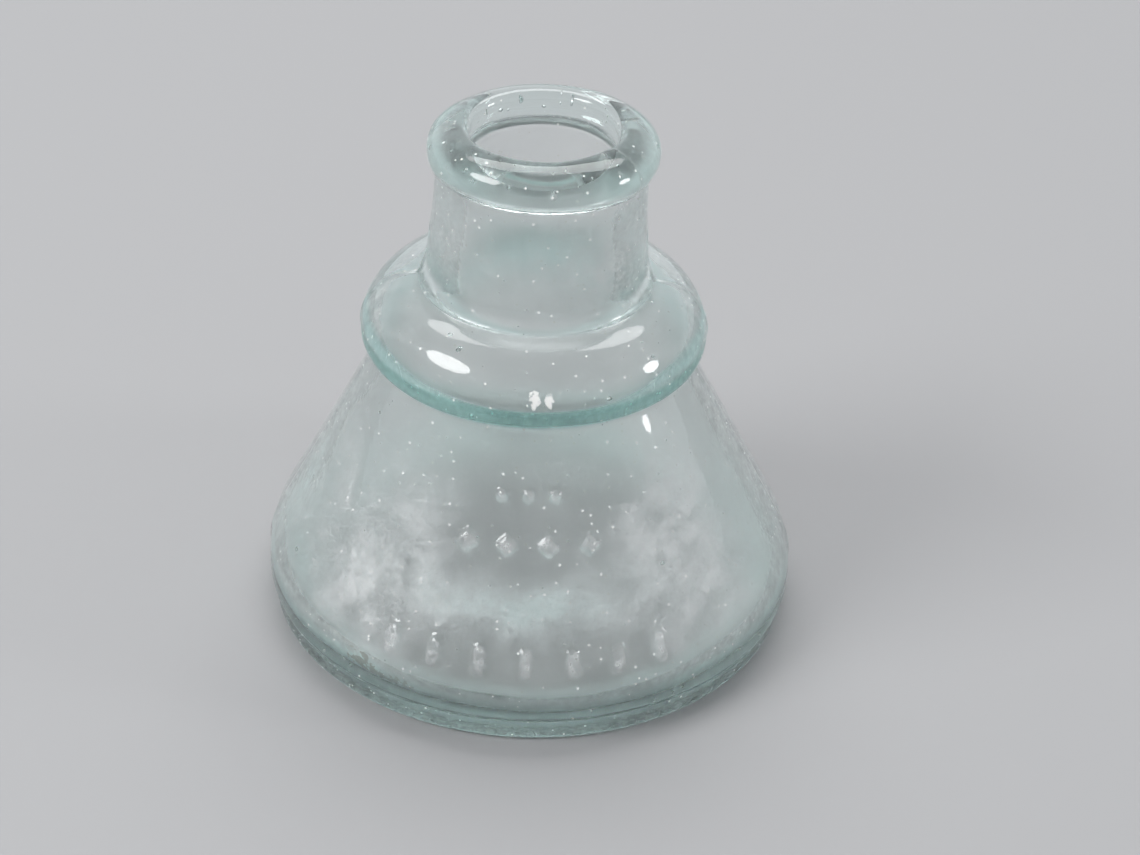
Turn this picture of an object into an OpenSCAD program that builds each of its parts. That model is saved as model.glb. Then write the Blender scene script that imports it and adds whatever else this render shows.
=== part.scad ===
// Cone ink bottle: a mould-blown glass body with an applied glass lip.
// The origin is the centre of the face it rests on, and +Z runs up to the mouth.
// All dimensions are millimetres.

/* [Overall] */
// Height from the resting face to the crest of the lip
height = 61.8; // [60:0.1:66]
// Diameter of the heel, the widest part of the bottle
heel_d = 63.4; // [60:0.1:70]
// Segments around every round surface
$fn = 180; // [48:12:240]

/* [Base] */
// Diameter of the base plate's edge, just below the mould seam
base_d = 62.2; // [58:0.1:63]
// Height of the mould seam where the base plate meets the cone
base_plate_h = 3.2; // [2:0.1:3.6]
// Rounding of the edge that the bottle stands on
base_edge = 0.8; // [0.4:0.1:1.5]
// Diameter of the hollow pushed up into the underside
push_up_d = 44; // [30:1:54]
// Depth of that hollow at its centre
push_up_h = 1.4; // [0.5:0.1:2.5]
// Height of the inside floor's edge above the resting face
floor_h = 2; // [1.8:0.1:3]
// Rise of the inside floor from its edge to its middle
floor_crown = 2; // [1.4:0.1:3]

/* [Cone] */
// Height at which the cone's slope would meet the upright heel
cone_foot_z = 7.2; // [6.8:0.1:9]
// Rounding between the heel and the cone
heel_round = 12; // [6:0.5:13]
// Glass thickness of the cone, square to its face
wall = 2.3; // [1.8:0.1:3]
// Rounding between the inside floor and the cone
floor_round = 4; // [3:0.1:6]

/* [Shoulder ring] */
// Diameter of the rounded ring between the cone and the neck
ring_d = 40; // [39:0.1:42]
// Diameter of the crease where the cone runs in under the ring
ring_crease_d = 35.4; // [34:0.1:36.5]
// Height of the ring's widest line
ring_z = 36; // [34:0.1:38]
// Rise of the ring above its widest line
ring_up = 6.8; // [6:0.1:7.4]
// Drop of the ring's round below its widest line
ring_down = 3.1; // [2.5:0.1:4]
// Glass thickness at the ring's widest line
ring_wall = 2.3; // [1.8:0.1:3]

/* [Neck] */
// Outer diameter of the neck just under the lip
neck_d = 23.6; // [23:0.1:24.4]
// Outer diameter at the bottom of the neck's straight part
neck_foot_d = 24.7; // [24.4:0.1:25.4]
// Height of the flare that spreads the neck's foot onto the ring
foot_flare_h = 2.9; // [1.5:0.1:4]
// Bore of the neck below the throat
neck_bore_d = 17.8; // [17:0.1:18.4]

/* [Lip] */
// Outer diameter of the applied lip
lip_d = 26; // [25.6:0.1:28]
// Height of the lip's widest line below its crest
lip_drop = 2.8; // [2.2:0.1:3.2]
// Height of the lip's round below that line
lip_under = 1.9; // [1.4:0.1:2.2]
// Diameter of the circle along the lip's crest
lip_crest_d = 18.6; // [18:0.1:20]
// Diameter of the throat that grips the stopper
throat_d = 16.4; // [15:0.1:16.8]
// Length of the throat's straight wall
throat_h = 2.8; // [2:0.1:3.4]

/* [Ornament] */
// Height that the raised ornament stands off the cone
relief = 0.5; // [0.3:0.1:0.8]
// Number of upright bars in the lower band
bar_count = 7; // [3:1:9]
// Number of lozenges in the middle band
lozenge_count = 4; // [2:1:5]
// Number of round beads in the upper band
bead_count = 3; // [1:1:5]

/* [Hidden] */
AQUA = [0.66, 0.84, 0.82];
AQUA_LIP = [0.58, 0.80, 0.78];

base_r = base_d / 2;
heel_r = heel_d / 2;
neck_r = neck_d / 2;
neck_foot_r = neck_foot_d / 2;
neck_bore_r = neck_bore_d / 2;
throat_r = throat_d / 2;
lip_r = lip_d / 2;
lip_crest_r = lip_crest_d / 2;

// The ring's section is an arc about a circle that lies under the neck's foot
ring_r = ring_d / 2;
ring_roll = 6.75;
ring_centre_r = ring_r - ring_roll;
ring_top_z = ring_z + ring_up;
ring_crease_r = ring_crease_d / 2;
crease_angle = acos((ring_crease_r - ring_centre_r) / ring_roll);
cone_top_z = ring_z - ring_down * sin(crease_angle);

// Tilt of the cone's outward face above the horizontal, and its inner face
cone_tilt = atan2(heel_r - ring_crease_r, cone_top_z - cone_foot_z);
heel_top_z = cone_foot_z - heel_round * tan(cone_tilt / 2);
inner_top_r = ring_crease_r - wall * cos(cone_tilt);
inner_top_z = cone_top_z - wall * sin(cone_tilt);
floor_round_z = floor_h + floor_round;
floor_round_r = inner_top_r
    - (floor_round + sin(cone_tilt) * (floor_round_z - inner_top_z)) / cos(cone_tilt);

// The hollow inside the ring: its half-width, and its rise and drop about its widest line
hollow_half_w = 4.4;
hollow_up = 4.2;
hollow_down = 2.6;
hollow_r = ring_r - ring_wall;
hollow_z = ring_z + 0.6;

// Fillet that leads up from the hollow to the neck's bore
bore_fillet = 2;

// Heights in the lip, from its crest down
lip_wide_z = height - lip_drop;
lip_bottom_z = lip_wide_z - lip_under;
throat_top_z = height - 1.2;
joint_z = throat_top_z - throat_h;
throat_taper_h = 2;

// Ornament sizes: each shape sinks this far into the cone, so that it joins it
RELIEF_SINK = 0.5;
BAR_W = 2.2;
BAR_LENGTH = 4.2;
BAR_STEP = 10;
LOZENGE_W = 3.6;
LOZENGE_STEP = 11;
BEAD_D = 1.8;
BEAD_STEP = 8;
BAR_Z = 10.3;
LOZENGE_Z = 22;
BEAD_Z = 27;

// Points on an ellipse about [r, z] with half-axes a and b, between two angles
function ellipse(r, z, a, b, from, to, steps = 12) =
    [for (i = [0 : steps]) let (t = from + (to - from) * i / steps) [r + a * cos(t), z + b * sin(t)]];

function arc(r, z, radius, from, to, steps = 12) = ellipse(r, z, radius, radius, from, to, steps);

// Underside, from the axis outward: the push-up is a shallow dome
function underside() = [for (i = [0 : 10]) let (t = 90 * i / 10) [push_up_d / 2 * sin(t), push_up_h * cos(t)]];

// Inside floor, from just within its edge to the axis: a shallow dome
function crowned_floor() =
    [for (i = [1 : 10]) let (t = 90 * (1 - i / 10)) [floor_round_r * t / 90, floor_h + floor_crown * cos(t)]];

// Outside of the body from the standing edge up to the joint with the lip
function outside() = concat(
    arc(base_r - base_edge, base_edge, base_edge, -90, 0, 6),
    [[base_r, base_plate_h], [heel_r, base_plate_h]],
    arc(heel_r - heel_round, heel_top_z, heel_round, 0, cone_tilt, 8),
    ellipse(ring_centre_r, ring_z, ring_roll, ring_down, -crease_angle, 0, 8),
    ellipse(ring_centre_r, ring_z, ring_roll, ring_up, 6, 90, 14),
    [
        [neck_foot_r, ring_top_z + foot_flare_h],
        [neck_r, lip_bottom_z],
        [neck_r, joint_z]
    ]
);

// Inside of the body from the joint with the lip down to the middle of the floor
function inside() = concat(
    [[throat_r, joint_z], [neck_bore_r, joint_z - throat_taper_h]],
    arc(neck_bore_r + bore_fillet, hollow_z + hollow_up + bore_fillet, bore_fillet, 180, 270, 6),
    ellipse(hollow_r - hollow_half_w, hollow_z, hollow_half_w, hollow_up, 90, 0, 10),
    arc(hollow_r - hollow_down, hollow_z, hollow_down, -10, -75, 6),
    [[inner_top_r, inner_top_z]],
    arc(floor_round_r, floor_round_z, floor_round, cone_tilt, -90, 12),
    crowned_floor()
);

// Stand a shape on the front of the cone at an angle from -Y and a height
module on_cone(angle, z) {
    r = heel_r - (z - cone_foot_z) * tan(cone_tilt);
    rotate([0, 0, angle])
        translate([0, -r, z])
            rotate([90 - cone_tilt, 0, 0])
                translate([0, 0, -RELIEF_SINK])
                    children();
}

// A row of the same shape across the front, evenly spaced about the middle
module front_row(count, step, z) {
    for (i = [0 : count - 1])
        on_cone((i - (count - 1) / 2) * step, z)
            children();
}

// Upright bar with round ends
module raised_bar() {
    linear_extrude(RELIEF_SINK + relief) {
        square([BAR_W, BAR_LENGTH - BAR_W], center = true);
        for (side = [-1, 1])
            translate([0, side * (BAR_LENGTH - BAR_W) / 2])
                circle(d = BAR_W);
    }
}

module raised_lozenge() {
    linear_extrude(RELIEF_SINK + relief)
        rotate(45)
            square(LOZENGE_W / sqrt(2), center = true);
}

module raised_bead() {
    cylinder(h = RELIEF_SINK + relief, d = BEAD_D);
}

// Hollow glass body: base plate, cone, shoulder ring and neck in one piece
module glass_body() {
    color(AQUA) {
        rotate_extrude()
            polygon(concat(underside(), outside(), inside()));
        front_row(bar_count, BAR_STEP, BAR_Z)
            raised_bar();
        front_row(lozenge_count, LOZENGE_STEP, LOZENGE_Z)
            raised_lozenge();
        front_row(bead_count, BEAD_STEP, BEAD_Z)
            raised_bead();
    }
}

// Ring of hot glass laid on the neck's cut end, lapped over its outside
module applied_lip() {
    color(AQUA_LIP)
        rotate_extrude()
            polygon(concat(
                [[throat_r, joint_z]],
                ellipse(lip_crest_r, throat_top_z, lip_crest_r - throat_r, height - throat_top_z, 180, 90, 8),
                ellipse(lip_crest_r, lip_wide_z, lip_r - lip_crest_r, lip_drop, 82, 0, 12),
                ellipse(neck_r, lip_wide_z, lip_r - neck_r, lip_under, -10, -90, 8),
                [[neck_r, joint_z]]
            ));
}

glass_body();
applied_lip();
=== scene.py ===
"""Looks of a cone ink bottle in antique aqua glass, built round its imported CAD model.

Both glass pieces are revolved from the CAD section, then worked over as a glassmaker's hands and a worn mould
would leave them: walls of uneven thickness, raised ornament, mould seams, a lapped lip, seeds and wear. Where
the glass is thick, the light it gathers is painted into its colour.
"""

import math
import random

import bmesh
import bpy
import numpy as np
from mathutils import Euler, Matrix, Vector, noise


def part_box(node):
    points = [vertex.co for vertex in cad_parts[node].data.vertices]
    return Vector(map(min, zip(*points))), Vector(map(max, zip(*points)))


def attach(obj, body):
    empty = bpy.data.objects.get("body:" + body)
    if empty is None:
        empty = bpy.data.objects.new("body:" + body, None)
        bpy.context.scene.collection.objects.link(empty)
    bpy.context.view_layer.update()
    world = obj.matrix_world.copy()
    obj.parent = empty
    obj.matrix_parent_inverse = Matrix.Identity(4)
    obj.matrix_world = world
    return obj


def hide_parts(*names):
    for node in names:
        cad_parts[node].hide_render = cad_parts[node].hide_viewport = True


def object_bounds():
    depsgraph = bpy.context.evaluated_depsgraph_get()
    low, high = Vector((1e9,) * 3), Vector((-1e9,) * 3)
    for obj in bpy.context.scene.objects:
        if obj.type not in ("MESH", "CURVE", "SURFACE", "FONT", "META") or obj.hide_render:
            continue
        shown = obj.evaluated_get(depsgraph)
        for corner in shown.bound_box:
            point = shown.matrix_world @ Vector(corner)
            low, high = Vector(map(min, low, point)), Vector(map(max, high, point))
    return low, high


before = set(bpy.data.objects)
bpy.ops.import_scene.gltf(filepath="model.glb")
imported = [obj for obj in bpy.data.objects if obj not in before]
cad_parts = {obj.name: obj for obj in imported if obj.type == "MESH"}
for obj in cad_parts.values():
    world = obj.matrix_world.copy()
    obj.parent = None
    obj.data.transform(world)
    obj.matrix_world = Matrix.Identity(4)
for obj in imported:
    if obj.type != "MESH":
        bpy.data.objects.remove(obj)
CAD_LOW, CAD_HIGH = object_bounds()

MM = 0.001
HEIGHT = CAD_HIGH.z
JOINT_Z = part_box("glass_body")[1].z
LIP_LOW_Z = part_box("applied_lip")[0].z

# Mesh density: the front faces -Y, and its columns stand closer together than the back's
COLUMNS = 320
FRONT_CROWDING = 0.5
UNDERSIDE_STEP = 1.5 * MM
OUTSIDE_STEP = 0.36 * MM
INSIDE_STEP = 0.8 * MM
LIP_STEP = 0.25 * MM
EDGE_SOFTENING = 2

# The lip sinks this far into the neck, so that light crosses the joint as it does in fused glass
FUSED_DEPTH = 0.03 * MM
JOINT_FADE = 2.5 * MM
STANDING_FADE = 2.5 * MM

# The floor lies this far under the bottle, so that their faces don't coincide
FLOOR_GAP = 0.05 * MM

# Hand-made unevenness: how far the surfaces wander, and over what distance
AXIS_WANDER = 0.22 * MM
AXIS_WANDER_PERIOD = 58 * MM
OUTSIDE_WAVE = 0.08 * MM
OUTSIDE_WAVE_SIZE = 13 * MM
INSIDE_WAVE = 0.3 * MM
INSIDE_WAVE_SIZE = 12 * MM
LIP_WAVE = 0.22 * MM
LIP_WAVE_SIZE = 8 * MM

# Orange-peel texture that a cold mould leaves: faint everywhere, stronger in patches, strongest low in front
HAMMERED = 0.005 * MM
HAMMERED_PATCH = 0.03 * MM
HAMMERED_SIZE = 2.2 * MM
PATCH_SIZE = 13 * MM
PITTED = 2.4

# Raised ornament on the front of the cone, laid out as on the CAD part
RELIEF = 0.5 * MM
RELIEF_EDGE = 0.7 * MM
BAR_W = 2.2 * MM
BAR_LENGTH = 4.2 * MM
LOZENGE_W = 3.6 * MM
BEAD_D = 1.8 * MM
CONE_TILT = math.radians(28.4)
FRONT_ROWS = (("bar", 7, 10, 10.3 * MM), ("lozenge", 4, 11, 22 * MM), ("bead", 3, 8, 27 * MM))

# The two lines where the halves of the mould met, and the lap where the lip's two ends met
MOULD_SEAMS = (-90, 90)
SEAM_HEIGHT = 0.16 * MM
SEAM_WIDTH = 0.35 * MM
LAP_AZIMUTH = 53
LAP_STEP = 0.22 * MM
LAP_TAIL = 5 * MM
LAP_EDGE = 0.35 * MM

# Patches on the glass: azimuth in degrees, height, half-width in degrees and half-height
LEFT_CLOUD = (-42, 15 * MM, 24, 9 * MM)
RIGHT_CLOUD = (43, 18 * MM, 20, 11 * MM)
WHOLE_FRONT = (0, 20 * MM, 45, 20 * MM)
LOW_FRONT = (0, 14.5 * MM, 26, 3.2 * MM)
RIGHT_SIDE = (78, 15 * MM, 14, 12 * MM)
LEFT_SIDE = (-86, 15 * MM, 9, 14 * MM)
# On the lip's two sides, whitening is painted light that the thick glass gathers
LIP_LEFT = (-80, 59 * MM, 35, 4 * MM)
LIP_RIGHT = (80, 59 * MM, 35, 4 * MM)

# Clouding of the inner face: how much there is everywhere, the least there is anywhere, then patches that
# add to it or take away from it, each with its strength first
EVEN_HAZE = 0.3
LEAST_HAZE = 0.1
NECK_RIGHT_HAZE = (0.7, (34, 49 * MM, 26, 5 * MM))
NECK_FOOT_HAZE = (0.25, (-10, 47 * MM, 40, 4 * MM))
BACK_HAZE = (0.3, (180, 20 * MM, 60, 12 * MM))
CLEAR_UNDER_RING = (-0.35, (0, 29 * MM, 30, 5 * MM))
CLEAR_LOW_FRONT = (-0.3, (5, 7 * MM, 36, 3 * MM))

# Small air bubbles: how many in each piece
BODY_SEEDS = 130
LIP_SEEDS = 25

# Sizes of the marks on the glass
BILLOW_SIZE = 8 * MM
GRAIN_SIZE = 0.8 * MM
PIT_SIZE = 2.6 * MM
RUB_SIZE = 1.2 * MM
SCUFF_SIZE = 3 * MM
SPECK_SPACING = 1.3 * MM
SPECK_SIZE = 0.17 * MM
TIDE_SIZE = 9 * MM
HAIRLINE_SIZE = 7 * MM
HAIRLINE_PATCH = 5 * MM
FINE_TEXTURE_SIZE = 0.9 * MM
FINE_TEXTURE_DEPTH = 0.006 * MM

# The glass itself: refractive index, roughness under the film, and how strongly each piece tints light
GLASS_IOR = 1.52
FILM_BLUR = 0.28
BODY_DENSITY = 9
LIP_DENSITY = 12

# Softboxes: azimuth and elevation in degrees, distance and size in metres, and watts
SOFTBOXES = (
    ("left_softbox", -66, 40, 0.9, (0.5, 0.34), 4.5),
    ("right_softbox", 83, 17, 0.9, (0.2, 0.24), 1.6),
    ("back_softbox", 178, 62, 1.1, (1.2, 0.6), 8)
)

# Camera: its place round the middle of the bottle, the point it looks at, its lens in mm and its roll
CAMERA_ELEVATION = 32.3
CAMERA_DISTANCE = 0.2775
CAMERA_CENTRE = Vector((0, 0, 0.031))
CAMERA_AIM = Vector((0.00447, 0, 0.02203))
CAMERA_LENS = 75.05
CAMERA_ROLL = 2.64


# ---------------------------------------------------------------- sections of the CAD part

def section(node):
    """The CAD node's outline behind its axis, as ordered (radius, height) points."""
    bm = bmesh.new()
    bm.from_mesh(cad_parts[node].data)
    bmesh.ops.remove_doubles(bm, verts=bm.verts, dist=0.0001 * MM)
    for normal, drop_front in (((1, 0, 0), True), ((0, 1, 0), False)):
        bmesh.ops.bisect_plane(
            bm, geom=bm.verts[:] + bm.edges[:] + bm.faces[:], plane_co=(0, 0, 0), plane_no=normal,
            clear_inner=True, clear_outer=drop_front
        )
    bmesh.ops.remove_doubles(bm, verts=bm.verts, dist=0.001 * MM)
    ends = [v for v in bm.verts if len(v.link_edges) == 1]
    vert = min(ends or bm.verts, key=lambda v: (v.co.z, v.co.y))
    path = [vert]
    while True:
        onward = [e.other_vert(vert) for e in vert.link_edges if e.other_vert(vert) not in path]
        if not onward:
            break
        vert = max(onward, key=lambda v: v.co.y)
        path.append(vert)
    if not ends:
        path.append(path[0])
    points = np.array([(v.co.y, v.co.z) for v in path])
    bm.free()
    return points


def respaced(points, step):
    """The points of a section, respaced at an even step."""
    along = np.concatenate([[0], np.cumsum(np.linalg.norm(np.diff(points, axis=0), axis=1))])
    stations = np.linspace(0, along[-1], max(2, round(along[-1] / step)) + 1)
    return np.column_stack([np.interp(stations, along, points[:, k]) for k in (0, 1)])


def softened(chain):
    """The section with its corners rounded as fire leaves them; its two ends stay."""
    for _ in range(EDGE_SOFTENING):
        chain[1:-1] = (chain[:-2] + 2 * chain[1:-1] + chain[2:]) / 4
    return chain


def chain_normals(chain):
    """Unit normals that point out of the glass, for a section that runs up outside and down inside."""
    run = np.gradient(chain, axis=0)
    normals = np.column_stack([run[:, 1], -run[:, 0]])
    return normals / np.linalg.norm(normals, axis=1)[:, None]


def smoothstep(x, low=0, high=1):
    x = np.clip((x - low) / (high - low), 0, 1)
    return x * x * (3 - 2 * x)


def below(height, full, gone):
    """1 under the first height, easing out to 0 at the second."""
    return smoothstep(-height, -gone, -full)


def columns():
    """Azimuths of the mesh's columns, crowded towards the front."""
    even = np.linspace(-math.pi, math.pi, COLUMNS, endpoint=False)
    return even - FRONT_CROWDING * np.sin(even)


# ---------------------------------------------------------------- what the maker's hands left

def wave(points, size, seed):
    """A smooth random height between about -1 and 1 at each point, with bumps of the given size."""
    offset = Vector((seed * 17.3, seed * 5.1, seed * 9.7))
    heights = [noise.noise(Vector(p) / size + offset) for p in points.reshape(-1, 3)]
    return np.array(heights).reshape(points.shape[:-1])


def cloud(azimuth, height, at, z, width, tall):
    """A soft patch on the glass about an azimuth in degrees and a height."""
    across = (azimuth - math.radians(at) + math.pi) % (2 * math.pi) - math.pi
    return np.exp(-((across / math.radians(width)) ** 2) - ((height - z) / tall) ** 2)


def side_clouds(azimuth, height):
    """The two bright clouds on the cone, either side of its ornament."""
    return cloud(azimuth, height, *LEFT_CLOUD) + cloud(azimuth, height, *RIGHT_CLOUD)


def low_front(azimuth, height):
    """The thick, pitted glass low on the front of the cone."""
    return cloud(azimuth, height, *LOW_FRONT)


def shape_distance(shape, across, up):
    """Signed distance from a raised shape's edge, negative inside it."""
    if shape == "bar":
        past_end = np.maximum(np.abs(up) - (BAR_LENGTH - BAR_W) / 2, 0)
        return np.hypot(across, past_end) - BAR_W / 2
    if shape == "lozenge":
        return (np.abs(across) + np.abs(up) - LOZENGE_W / 2) / math.sqrt(2)
    return np.hypot(across, up) - BEAD_D / 2


def ornament(azimuth, radius, height):
    """The raised rows on the front of the cone: 0 on plain glass, 1 on their tops, between on their edges."""
    raised = np.zeros_like(azimuth)
    for shape, count, step, z in FRONT_ROWS:
        up = (height - z) / math.cos(CONE_TILT)
        for i in range(count):
            across = radius * (azimuth - math.radians((i - (count - 1) / 2) * step))
            within = -shape_distance(shape, across, up) / RELIEF_EDGE
            raised = np.maximum(raised, smoothstep(within))
    return raised


def mould_seams(azimuth, radius, height):
    """The fine ridges up both sides, from the base plate to the middle of the neck."""
    on_side = smoothstep(height, 3 * MM, 4 * MM) * below(height, 48 * MM, 52 * MM)
    ridge = sum(
        np.exp(-((radius * (azimuth - math.radians(side)) / SEAM_WIDTH) ** 2)) for side in MOULD_SEAMS
    )
    return SEAM_HEIGHT * on_side * ridge


def lip_lap(azimuth, radius):
    """The step where one end of the lip's glass lies over the other, easing out to the left."""
    past = radius * (azimuth - math.radians(LAP_AZIMUTH))
    return LAP_STEP * np.where(past < 0, np.exp(past / LAP_TAIL), np.exp(-past / LAP_EDGE))


def body_offset(points, azimuth, radius, height, outside):
    uneven = smoothstep(wave(points, PATCH_SIZE, 6), 0.1, 0.5)
    patches = cloud(azimuth, height, *WHOLE_FRONT) * uneven + PITTED * low_front(azimuth, height)
    peel = HAMMERED + HAMMERED_PATCH * patches
    worked = OUTSIDE_WAVE * wave(points, OUTSIDE_WAVE_SIZE, 1) + peel * wave(points, HAMMERED_SIZE, 2)
    blown = INSIDE_WAVE * wave(points, INSIDE_WAVE_SIZE, 3) + peel * wave(points, HAMMERED_SIZE, 4)
    raised = RELIEF * ornament(azimuth, radius, height) + mould_seams(azimuth, radius, height)
    return np.where(outside, worked + raised, blown)


def lip_offset(points, azimuth, radius, height, outside):
    return LIP_WAVE * wave(points, LIP_WAVE_SIZE, 5) + lip_lap(azimuth, radius)


# ---------------------------------------------------------------- clouding, stains, and light painted where the glass is thick

def glow_at_heel_and_sides(azimuth, radius, height):
    """The corner of the heel and both sides of the cone, where light that the thick glass gathers is painted
    as an aqua-white coat.
    """
    heel = below(height, 3.5 * MM, 8 * MM) * smoothstep(radius, 23 * MM, 27 * MM)
    sides = cloud(azimuth, height, *RIGHT_SIDE) + cloud(azimuth, height, *LEFT_SIDE)
    return np.clip(heel + 0.7 * sides, 0, 1)


def body_clouding(azimuth, radius, height):
    """How clouded the inner face is: most either side of the front, least just under the ring in front."""
    haze = np.full_like(azimuth, EVEN_HAZE)
    haze += 0.8 * side_clouds(azimuth, height)
    haze += 0.65 * low_front(azimuth, height)
    # Clouding at the heel and the cone's sides belongs to the aqua-white glow painted there
    haze += 0.4 * glow_at_heel_and_sides(azimuth, radius, height)
    for strength, patch in (NECK_RIGHT_HAZE, NECK_FOOT_HAZE, BACK_HAZE, CLEAR_UNDER_RING, CLEAR_LOW_FRONT):
        haze += strength * cloud(azimuth, height, *patch)
    return np.clip(haze, LEAST_HAZE, 1)


def body_wear(azimuth, radius, height):
    """How scuffed the outside is: the ring that it stands on, the ornament's tops, and a faint bloom."""
    standing = 0.3 * below(height, 0.1 * MM, 0.5 * MM) * smoothstep(radius, 25 * MM, 28 * MM)
    tops = 0.42 * ornament(azimuth, radius, height)
    bloom = 0.25 * side_clouds(azimuth, height) + 0.2 * low_front(azimuth, height)
    return np.maximum(np.maximum(standing, tops), bloom)


def lip_whitening(azimuth, height):
    """How whitened the lip is: most along its lower edge, and a little on both sides, where it is painted
    light that the thick glass gathers.
    """
    sides = cloud(azimuth, height, *LIP_LEFT) + cloud(azimuth, height, *LIP_RIGHT)
    return np.maximum(0.45 * below(height, 57.3 * MM, 57.6 * MM), 0.28 * sides)


def painted_teal_under_ring(height):
    """The underside of the ring, painted deep aqua for the teal light that thick glass and internal
    reflection show there.
    """
    return smoothstep(height, 33.2 * MM, 34 * MM) * below(height, 36.8 * MM, 37.2 * MM)


def body_marks(azimuth, radius, height, outside):
    """What the body's material reads at each point, by name."""
    # Aqua-white glow painted at the heel, the cone's sides and low in front: light that the thick glass
    # gathers there
    aqua = np.maximum(
        0.85 * glow_at_heel_and_sides(azimuth, radius, height), 0.4 * low_front(azimuth, height)
    )
    return {
        "haze": np.where(outside, 0, body_clouding(azimuth, radius, height)),
        "worn": np.where(outside, body_wear(azimuth, radius, height), 0),
        # Teal painted in a band under the ring, standing in for the light that the thick glass there shows
        "depth": np.where(outside, painted_teal_under_ring(height), 0),
        "film_aqua": aqua
    }


def lip_marks(azimuth, radius, height, outside):
    """What the lip's material reads at each point, by name."""
    return {
        "haze": np.zeros_like(azimuth),
        # The lip's whitening: on its sides, painted light that the thick glass gathers
        "worn": lip_whitening(azimuth, height),
        "depth": np.full_like(azimuth, 0.08),
        "film_aqua": np.zeros_like(azimuth)
    }


# ---------------------------------------------------------------- glass meshes

def revolve(chain, outside, fade, offset, marks):
    """A closed glass mesh: the section turned round the axis, and pushed out along its normals."""
    azimuth, radius = np.meshgrid(columns(), chain[:, 0])
    height = np.repeat(chain[:, 1:], COLUMNS, axis=1)
    normal = chain_normals(chain)
    even = np.stack([radius * np.sin(azimuth), -radius * np.cos(azimuth), height], axis=-1)
    values_by_name = marks(azimuth, radius, height, outside[:, None])
    push = offset(even, azimuth, radius, height, outside[:, None]) * fade[:, None]
    radius = radius + push * normal[:, :1]
    height = height + push * normal[:, 1:]
    lean = AXIS_WANDER * np.cos(2 * math.pi * (height - 8 * MM) / AXIS_WANDER_PERIOD)
    points = np.stack([radius * np.sin(azimuth) + lean, -radius * np.cos(azimuth), height], axis=-1)

    bm = bmesh.new()
    layers = [(bm.verts.layers.float.new(name), values) for name, values in values_by_name.items()]
    closed = np.allclose(chain[0], chain[-1])
    rows = len(chain) - closed
    grid = []
    for row in range(rows):
        ring = []
        for column in range(COLUMNS):
            vert = bm.verts.new(points[row, column])
            for layer, values in layers:
                vert[layer] = values[row, column]
            ring.append(vert)
        grid.append(ring)
    for row in range(rows if closed else rows - 1):
        lower, upper = grid[row], grid[(row + 1) % rows]
        for i in range(COLUMNS):
            j = (i + 1) % COLUMNS
            bm.faces.new((lower[i], lower[j], upper[j], upper[i]))
    bmesh.ops.remove_doubles(bm, verts=bm.verts, dist=0.0001 * MM)
    return bm


def add_seeds(bm, rng, count, place):
    """Small air bubbles shut in the glass: their faces point inward, out of the glass and into the air."""
    for _ in range(count):
        centre, size = place(rng)
        stretch = rng.uniform(1.0, 1.8)
        turn = Euler((0, 0, rng.uniform(0, math.tau))).to_matrix()
        made = bmesh.ops.create_icosphere(bm, subdivisions=2, radius=size)["verts"]
        for v in made:
            v.co = turn @ Vector((v.co.x * stretch, v.co.y, v.co.z)) + centre
        bmesh.ops.reverse_faces(bm, faces=list({f for v in made for f in v.link_faces}))


def on_azimuth(azimuth, radius, height):
    a = math.radians(azimuth)
    return Vector((radius * math.sin(a), -radius * math.cos(a), height))


def finish_piece(bm, name, node, material):
    for f in bm.faces:
        f.smooth = True
    mesh = bpy.data.meshes.new(name)
    bm.to_mesh(mesh)
    bm.free()
    piece = bpy.data.objects.new(name, mesh)
    bpy.context.scene.collection.objects.link(piece)
    mesh.materials.append(material)
    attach(piece, "root")
    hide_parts(node)


def make_body(material):
    points = section("glass_body")
    standing = next(i for i, p in enumerate(points) if i > 2 and p[1] < 0.01 * MM)
    at_joint = [i for i, p in enumerate(points) if p[1] > JOINT_Z - 0.01 * MM]
    first, last = at_joint[0], at_joint[-1]
    underside = respaced(points[: standing + 1], UNDERSIDE_STEP)
    wall = respaced(points[standing : first + 1], OUTSIDE_STEP)
    up_outside = softened(np.vstack([underside[:-1], wall]))
    down_inside = softened(respaced(points[last:], INSIDE_STEP))
    chain = np.vstack([up_outside, down_inside])
    outside = np.arange(len(chain)) < len(up_outside)
    fade = smoothstep(LIP_LOW_Z - chain[:, 1], 0, JOINT_FADE)
    fade[outside] *= smoothstep(chain[outside, 1], 0.5 * MM, STANDING_FADE)
    bm = revolve(chain, outside, fade, body_offset, body_marks)
    seeded = [p for p in wall if 5 * MM < p[1] < 54 * MM]

    def in_wall(rng):
        radius, height = rng.choice(seeded)
        depth = rng.uniform(0.5, 1.7) * MM
        size = 0.07 * MM + 0.2 * MM * rng.random() ** 4
        return on_azimuth(rng.uniform(-180, 180), radius - depth, height), size

    add_seeds(bm, random.Random(7), BODY_SEEDS, in_wall)
    finish_piece(bm, "blown_glass_body", "glass_body", material)


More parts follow.
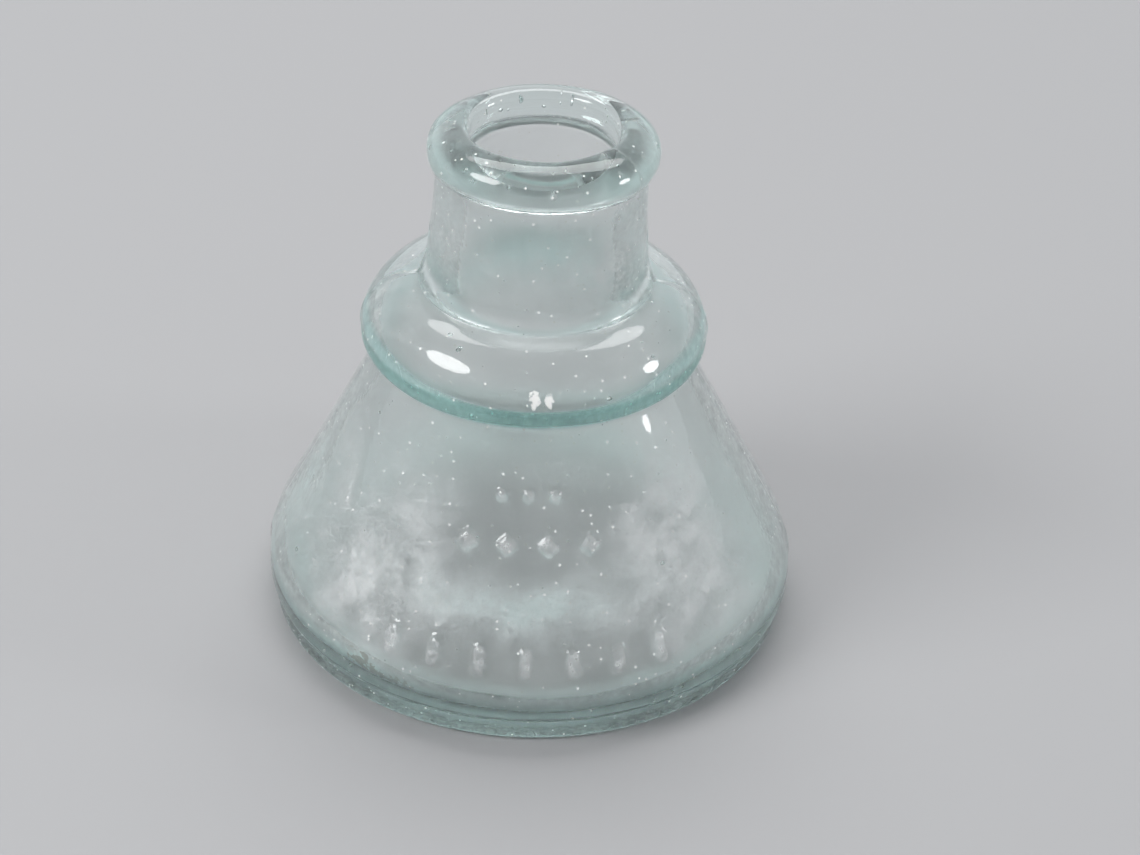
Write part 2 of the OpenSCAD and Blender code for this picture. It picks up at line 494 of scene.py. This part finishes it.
def make_lip(material):
    points = section("applied_lip")
    crest = next(i for i, p in enumerate(points) if p[1] > HEIGHT - 0.01 * MM)
    throat_foot = next(i for i in range(crest, len(points)) if abs(points[i][1] - JOINT_Z) < 0.01 * MM)
    free = softened(respaced(points[: throat_foot + 1], LIP_STEP))
    neck_r = points[0][0] - FUSED_DEPTH
    sunk_z = JOINT_Z - FUSED_DEPTH
    sunk = np.array([(free[-1][0], sunk_z), (neck_r, sunk_z), (neck_r, points[0][1])])
    chain = np.vstack([free, sunk, free[:1]])
    to_joint = np.minimum(
        np.linalg.norm(chain - free[0], axis=1), np.linalg.norm(chain - free[-1], axis=1)
    )
    to_joint[len(free):] = 0
    fade = smoothstep(to_joint, 0, 1.5 * MM)
    bm = revolve(chain, np.ones(len(chain), bool), fade, lip_offset, lip_marks)

    def in_lip(rng):
        centre = on_azimuth(rng.uniform(-180, 180), rng.uniform(9.6, 12) * MM, 59.4 * MM)
        return centre, rng.uniform(0.06, 0.2) * MM

    add_seeds(bm, random.Random(11), LIP_SEEDS, in_lip)
    finish_piece(bm, "applied_glass_lip", "applied_lip", material)


# ---------------------------------------------------------------- material nodes

def new_material(name):
    material = bpy.data.materials.new(name)
    material.use_nodes = True
    tree = material.node_tree
    return material, tree, tree.nodes["Principled BSDF"], tree.nodes["Material Output"]


def feed(tree, socket, value):
    """Link a socket's value, or set it where it is a plain number or colour."""
    if isinstance(value, bpy.types.NodeSocket):
        tree.links.new(value, socket)
    elif isinstance(value, tuple) and len(value) == 3 and socket.type == "RGBA":
        socket.default_value = (*value, 1)
    else:
        socket.default_value = value


def mix_colors(tree, factor, a, b):
    mix = tree.nodes.new("ShaderNodeMix")
    mix.data_type = "RGBA"
    feed(tree, mix.inputs["Factor"], factor)
    feed(tree, mix.inputs[6], a)
    feed(tree, mix.inputs[7], b)
    return mix.outputs[2]


def calculate(tree, operation, a, b):
    node = tree.nodes.new("ShaderNodeMath")
    node.operation = operation
    feed(tree, node.inputs[0], a)
    feed(tree, node.inputs[1], b)
    return node.outputs["Value"]


def spread(tree, value, low, high, to_low=0.0, to_high=1.0):
    """The value's range from low to high eased onto to_low to to_high, and held outside it."""
    node = tree.nodes.new("ShaderNodeMapRange")
    node.interpolation_type = "SMOOTHSTEP"
    feed(tree, node.inputs["Value"], value)
    node.inputs["From Min"].default_value = low
    node.inputs["From Max"].default_value = high
    node.inputs["To Min"].default_value = to_low
    node.inputs["To Max"].default_value = to_high
    return node.outputs["Result"]


def object_space(tree):
    return tree.nodes.new("ShaderNodeTexCoord").outputs["Object"]


def noise_texture(tree, size, detail=4, roughness=0.55, distortion=0.0):
    """Noise in the object's own space with features of the given size."""
    texture = tree.nodes.new("ShaderNodeTexNoise")
    texture.inputs["Scale"].default_value = 1 / size
    texture.inputs["Detail"].default_value = detail
    texture.inputs["Roughness"].default_value = roughness
    texture.inputs["Distortion"].default_value = distortion
    tree.links.new(object_space(tree), texture.inputs["Vector"])
    return texture.outputs["Fac"]


def specks(tree, spacing, size, share):
    """Round grains of the given size where the glass passes near scattered points; share of them show."""
    cells = tree.nodes.new("ShaderNodeTexVoronoi")
    cells.inputs["Scale"].default_value = 1 / spacing
    tree.links.new(object_space(tree), cells.inputs["Vector"])
    chance = tree.nodes.new("ShaderNodeSeparateColor")
    tree.links.new(cells.outputs["Color"], chance.inputs["Color"])
    grain = spread(tree, cells.outputs["Distance"], 0.6 * size / spacing, size / spacing, 1.0, 0.0)
    shown = spread(tree, chance.outputs["Red"], 1 - share, 1.02 - share)
    return calculate(tree, "MULTIPLY", grain, shown)


def attribute(tree, name):
    node = tree.nodes.new("ShaderNodeAttribute")
    node.attribute_name = name
    return node.outputs["Fac"]


def spot(tree, centre, radii, rag=0.5, strength=1.0):
    """A ragged patch round a point of the object, with the given half-sizes."""
    shift = tree.nodes.new("ShaderNodeVectorMath")
    shift.operation = "SUBTRACT"
    tree.links.new(object_space(tree), shift.inputs[0])
    shift.inputs[1].default_value = centre
    shrink = tree.nodes.new("ShaderNodeVectorMath")
    shrink.operation = "DIVIDE"
    tree.links.new(shift.outputs["Vector"], shrink.inputs[0])
    shrink.inputs[1].default_value = radii
    away = tree.nodes.new("ShaderNodeVectorMath")
    away.operation = "LENGTH"
    tree.links.new(shrink.outputs["Vector"], away.inputs[0])
    edge = noise_texture(tree, min(radii), 3)
    ragged = calculate(tree, "ADD", away.outputs["Value"], spread(tree, edge, 0.3, 0.7, -rag, rag))
    return spread(tree, ragged, 0.9, 1.1, strength, 0.0)


def wandering_lines(tree, size, half_width, patch):
    """Curved lines that follow a level of soft noise, kept in scattered patches of the given size."""
    off_level = calculate(tree, "SUBTRACT", noise_texture(tree, size, 2), 0.5)
    line = spread(tree, calculate(tree, "ABSOLUTE", off_level, 0.0), 0.3 * half_width, half_width, 1.0, 0.0)
    here = spread(tree, noise_texture(tree, patch, 2), 0.54, 0.64)
    return calculate(tree, "MULTIPLY", line, here)


def any_of(tree, *masks):
    whole = masks[0]
    for mask in masks[1:]:
        whole = calculate(tree, "MAXIMUM", whole, mask)
    return whole


# ---------------------------------------------------------------- materials

CLEAR = (0.98, 0.993, 0.99)
# Deep aqua painted in a band under the ring, for the teal light that thick glass and internal reflection show
# there; the lip takes a faint even share as its own tone
DEEP_AQUA = (0.42, 0.9, 0.83)
CLOUDED = (0.95, 0.94, 0.94)
# Aqua-white painted at the heel, the cone's sides and low in front, for light that the thick glass gathers
# there
PAINTED_GLOW_COLOR = (0.72, 0.96, 0.92)
BRUISED = (0.9, 0.9, 0.87)
DRIED = (0.3, 0.27, 0.2)
WALLS = (0.95, 0.97, 1.0)
CEILING = (0.42, 0.43, 0.45)
THICK_GLASS = (0.30, 0.86, 0.78)
FLOOR_GREY = (0.34, 0.34, 0.345)


def film_cover(tree, film, film_aqua):
    """How much of the inner face the dried film covers: billowed, grainy and pitted, with tide marks."""
    billow = spread(tree, noise_texture(tree, BILLOW_SIZE, 6, 0.6, 0.6), 0.33, 0.67, 0.45, 1.35)
    grain = spread(tree, noise_texture(tree, GRAIN_SIZE, 5, 0.65), 0.3, 0.7, 0.6, 1.15)
    pits = spread(tree, noise_texture(tree, PIT_SIZE, 3, 0.5, 0.5), 0.4, 0.62, 0.8, 1.1)
    mottle = calculate(tree, "MULTIPLY", billow, calculate(tree, "MULTIPLY", grain, pits))
    # Where the aqua glow is painted, the coat is filled in evenly
    evened = calculate(tree, "MULTIPLY", film_aqua, calculate(tree, "SUBTRACT", 1.0, mottle))
    mottle = calculate(tree, "ADD", mottle, evened)
    tide = calculate(tree, "MULTIPLY", wandering_lines(tree, TIDE_SIZE, 0.02, TIDE_SIZE), grain)
    return calculate(tree, "MULTIPLY", film, calculate(tree, "ADD", mottle, tide))


def white_marks(tree, film, marks):
    """Specks, a few curved scratches on the inner face, and the given bruises."""
    hairlines = wandering_lines(tree, HAIRLINE_SIZE, 0.0035, HAIRLINE_PATCH)
    scratches = calculate(tree, "MULTIPLY", hairlines, spread(tree, film, 0, 0.1, 0.0, 0.5))
    dust = specks(tree, SPECK_SPACING, SPECK_SIZE, 0.85)
    return any_of(tree, dust, scratches, *[spot(tree, *mark) for mark in marks])


def add_fine_texture(tree, glass):
    bump = tree.nodes.new("ShaderNodeBump")
    bump.inputs["Distance"].default_value = FINE_TEXTURE_DEPTH
    feed(tree, bump.inputs["Height"], noise_texture(tree, FINE_TEXTURE_SIZE, 3, 0.6))
    tree.links.new(bump.outputs["Normal"], glass.inputs["Normal"])


def tint_inside(tree, output, density):
    """Aqua that deepens with the thickness of glass that light crosses."""
    tint = tree.nodes.new("ShaderNodeVolumeAbsorption")
    tint.inputs["Color"].default_value = (*THICK_GLASS, 1)
    tint.inputs["Density"].default_value = density
    tree.links.new(tint.outputs["Volume"], output.inputs["Volume"])


def aqua_glass(name, density, marks, stains):
    """Clear old glass: aqua through its thickness, clouded on its inner face, scuffed and marked outside, and
    with light that thick glass gathers painted into its colour.
    """
    material, tree, glass, output = new_material(name)
    glass.inputs["IOR"].default_value = GLASS_IOR
    film = attribute(tree, "haze")
    film_aqua = attribute(tree, "film_aqua")
    haze = film_cover(tree, film, film_aqua)
    rubbed = spread(tree, noise_texture(tree, RUB_SIZE, 5, 0.7), 0.3, 0.65, 0.35, 1.0)
    # The worn mask holds real scuffs, and on the lip's sides painted light
    scuffed = calculate(tree, "MULTIPLY", attribute(tree, "worn"), rubbed)
    white = white_marks(tree, film, marks)
    dried = any_of(tree, *[spot(tree, *stain) for stain in stains]) if stains else 0.0

    # The coat's colour: the film's grey-white, turning aqua where the glow of thick glass is painted
    film_and_glow_color = mix_colors(tree, film_aqua, CLOUDED, PAINTED_GLOW_COLOR)
    # Deep aqua painted under the ring, for the teal light of thick glass; a faint even tone on the lip
    color = mix_colors(tree, attribute(tree, "depth"), CLEAR, DEEP_AQUA)
    color = mix_colors(tree, any_of(tree, haze, scuffed), color, film_and_glow_color)
    color = mix_colors(tree, calculate(tree, "MULTIPLY", dried, 0.7), color, DRIED)
    feed(tree, glass.inputs["Base Color"], mix_colors(tree, white, color, BRUISED))

    covered = calculate(tree, "MULTIPLY", any_of(tree, haze, scuffed, dried), 0.85)
    cover = any_of(tree, covered, calculate(tree, "MULTIPLY", white, 0.95))
    feed(tree, glass.inputs["Transmission Weight"], spread(tree, cover, 0, 1, 1.0, 0.0))
    scratched = spread(tree, noise_texture(tree, SCUFF_SIZE, 6, 0.7, 1.5), 0.5, 0.75, 0.015, 0.07)
    film_blur = spread(tree, film, 0, 0.1, 0.0, FILM_BLUR)
    blur = calculate(tree, "ADD", film_blur, calculate(tree, "MULTIPLY", cover, 0.25))
    feed(tree, glass.inputs["Roughness"], any_of(tree, scratched, blur))
    add_fine_texture(tree, glass)
    tint_inside(tree, output, density)
    return material


def pale_floor():
    material, _, surface, _ = new_material("pale_floor")
    surface.inputs["Base Color"].default_value = (*FLOOR_GREY, 1)
    surface.inputs["Roughness"].default_value = 0.6
    return material


# ---------------------------------------------------------------- stage, lights and camera

def make_floor():
    bm = bmesh.new()
    bmesh.ops.create_circle(bm, cap_ends=True, radius=3, segments=96)
    mesh = bpy.data.meshes.new("floor")
    bm.to_mesh(mesh)
    bm.free()
    floor = bpy.data.objects.new("floor", mesh)
    floor.location.z = -FLOOR_GAP
    bpy.context.scene.collection.objects.link(floor)
    mesh.materials.append(pale_floor())


def make_world():
    """A studio with pale walls and a dimmer ceiling."""
    world = bpy.data.worlds.new("studio")
    bpy.context.scene.world = world
    world.use_nodes = True
    tree = world.node_tree
    direction = tree.nodes.new("ShaderNodeTexCoord")
    axes = tree.nodes.new("ShaderNodeSeparateXYZ")
    tree.links.new(direction.outputs["Generated"], axes.inputs["Vector"])
    overhead = spread(tree, axes.outputs["Z"], 0.0, 0.9)
    feed(tree, tree.nodes["Background"].inputs["Color"], mix_colors(tree, overhead, WALLS, CEILING))


def softbox(name, azimuth, elevation, distance, size, power):
    """A round-edged area light aimed at the middle of the bottle."""
    light = bpy.data.lights.new(name, "AREA")
    light.shape = "ELLIPSE"
    light.size, light.size_y = size
    light.energy = power
    lamp = bpy.data.objects.new(name, light)
    bpy.context.scene.collection.objects.link(lamp)
    target = Vector((0, 0, HEIGHT / 2))
    a, e = math.radians(azimuth), math.radians(elevation)
    away = Vector((math.sin(a) * math.cos(e), -math.cos(a) * math.cos(e), math.sin(e)))
    lamp.location = target + distance * away
    lamp.rotation_euler = (-away).to_track_quat("-Z", "Y").to_euler()


def make_camera():
    """A viewpoint from the front and above, turned a little anticlockwise."""
    elevation = math.radians(CAMERA_ELEVATION)
    data = bpy.data.cameras.new("camera")
    data.lens = CAMERA_LENS
    data.sensor_width = 36
    camera = bpy.data.objects.new("camera", data)
    bpy.context.scene.collection.objects.link(camera)
    away = Vector((0, -math.cos(elevation), math.sin(elevation)))
    camera.location = away * CAMERA_DISTANCE + CAMERA_CENTRE
    turn = (CAMERA_AIM - camera.location).to_track_quat("-Z", "Y")
    roll = Euler((0, 0, math.radians(CAMERA_ROLL))).to_quaternion()
    camera.rotation_euler = (turn @ roll).to_euler()
    bpy.context.scene.camera = camera


def make_stage():
    make_floor()
    make_world()
    for light in SOFTBOXES:
        softbox(*light)
    make_camera()
    scene = bpy.context.scene
    scene.view_settings.view_transform = "Standard"
    scene.cycles.max_bounces = 24
    scene.cycles.transmission_bounces = 24
    scene.cycles.glossy_bounces = 8


# Two bruises low on the front of the ring
BODY_MARKS = (
    (on_azimuth(0.4, 19.6 * MM, 38.6 * MM), Vector((0.5, 0.9, 1.0)) * MM),
    (on_azimuth(4.9, 19.6 * MM, 38.4 * MM), Vector((0.45, 0.8, 0.75)) * MM)
)
# One blister on the front of the lip
LIP_MARKS = ((on_azimuth(6, 12.7 * MM, 59.7 * MM), Vector((0.5, 0.5, 0.5)) * MM, 0.1, 0.25),)
# Dried ink in the corner of the heel, on the left
BODY_STAINS = (
    (on_azimuth(-38, 28.2 * MM, 4.4 * MM), Vector((1.6, 1.6, 0.9)) * MM, 0.9, 0.8),
    (on_azimuth(-32, 28.0 * MM, 3.6 * MM), Vector((2.6, 1.6, 0.7)) * MM, 0.9, 0.6)
)

make_body(aqua_glass("body_glass_aqua", BODY_DENSITY, BODY_MARKS, BODY_STAINS))
make_lip(aqua_glass("lip_glass_aqua", LIP_DENSITY, LIP_MARKS, ()))
make_stage()
